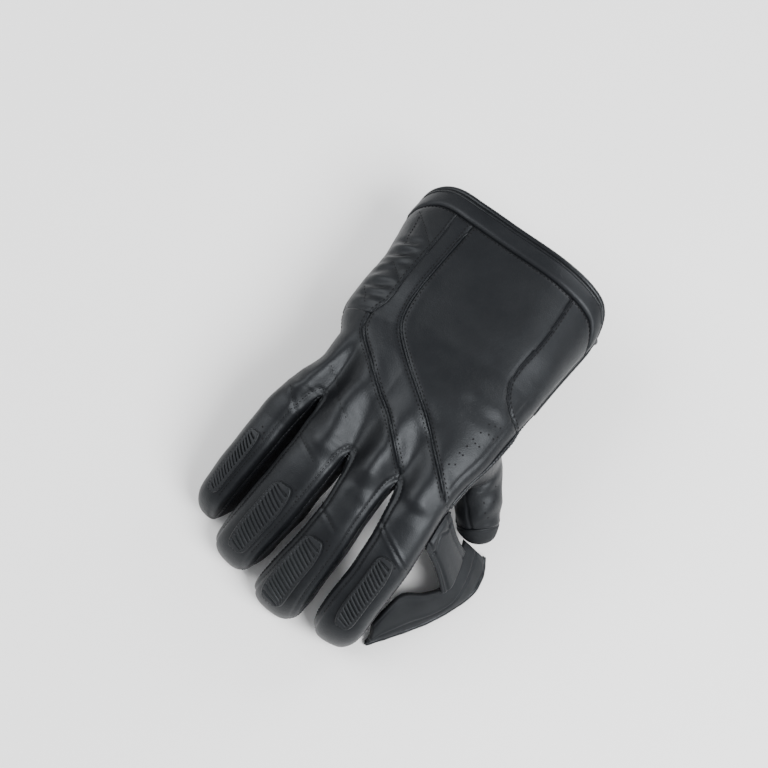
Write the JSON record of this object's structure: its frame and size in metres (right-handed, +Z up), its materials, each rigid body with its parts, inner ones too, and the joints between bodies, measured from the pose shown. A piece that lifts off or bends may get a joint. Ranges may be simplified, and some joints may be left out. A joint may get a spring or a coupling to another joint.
{
  "type": "wicketkeeping glove",
  "caption": "Black leather wicketkeeping glove for the right hand, lying palm down, with a rubber palm, ribbed finger guards, a flared cuff and a web from thumb to index finger.",
  "frame": {"origin": "middle of the glove's footprint, on the surface it lies on", "axes": "+Y from the cuff to the fingertips, +X towards the little finger, +Z up through the back of the hand"},
  "size_m": [0.1874, 0.2928, 0.0954],
  "materials": {
    "leather": "satin",
    "piping": "satin",
    "gusset_cloth": "matte",
    "palm_rubber": "matte",
    "guard_rubber": "satin"
  },
  "bodies": {
    "root": {"back_hand_panel": "leather", "index_strip_panel": "leather", "cuff_main_panel": "leather", "cuff_wedge_panel": "leather", "cuff_side_panel": "leather", "cuff_end_border": "leather", "cuff_rim_piping": "piping", "palm_rubber_panel": "palm_rubber", "cuff_palm_panel": "leather", "cuff_palm_binding": "piping", "finger_gusset_index_middle": "gusset_cloth", "finger_gusset_middle_ring": "gusset_cloth", "finger_gusset_ring_little": "gusset_cloth", "side_gusset_little": "gusset_cloth", "side_gusset_index": "gusset_cloth", "guard_index": "guard_rubber", "guard_middle": "guard_rubber", "guard_ring": "guard_rubber", "guard_little": "guard_rubber", "thumb_back": "leather", "thumb_palm": "palm_rubber", "thumb_cap": "palm_rubber", "web_band": "palm_rubber", "web_edge_roll": "piping", "web_stem": "leather", "seam_welt_cuff": "leather", "seam_welt_back": "leather"}
  },
  "joints": []
}
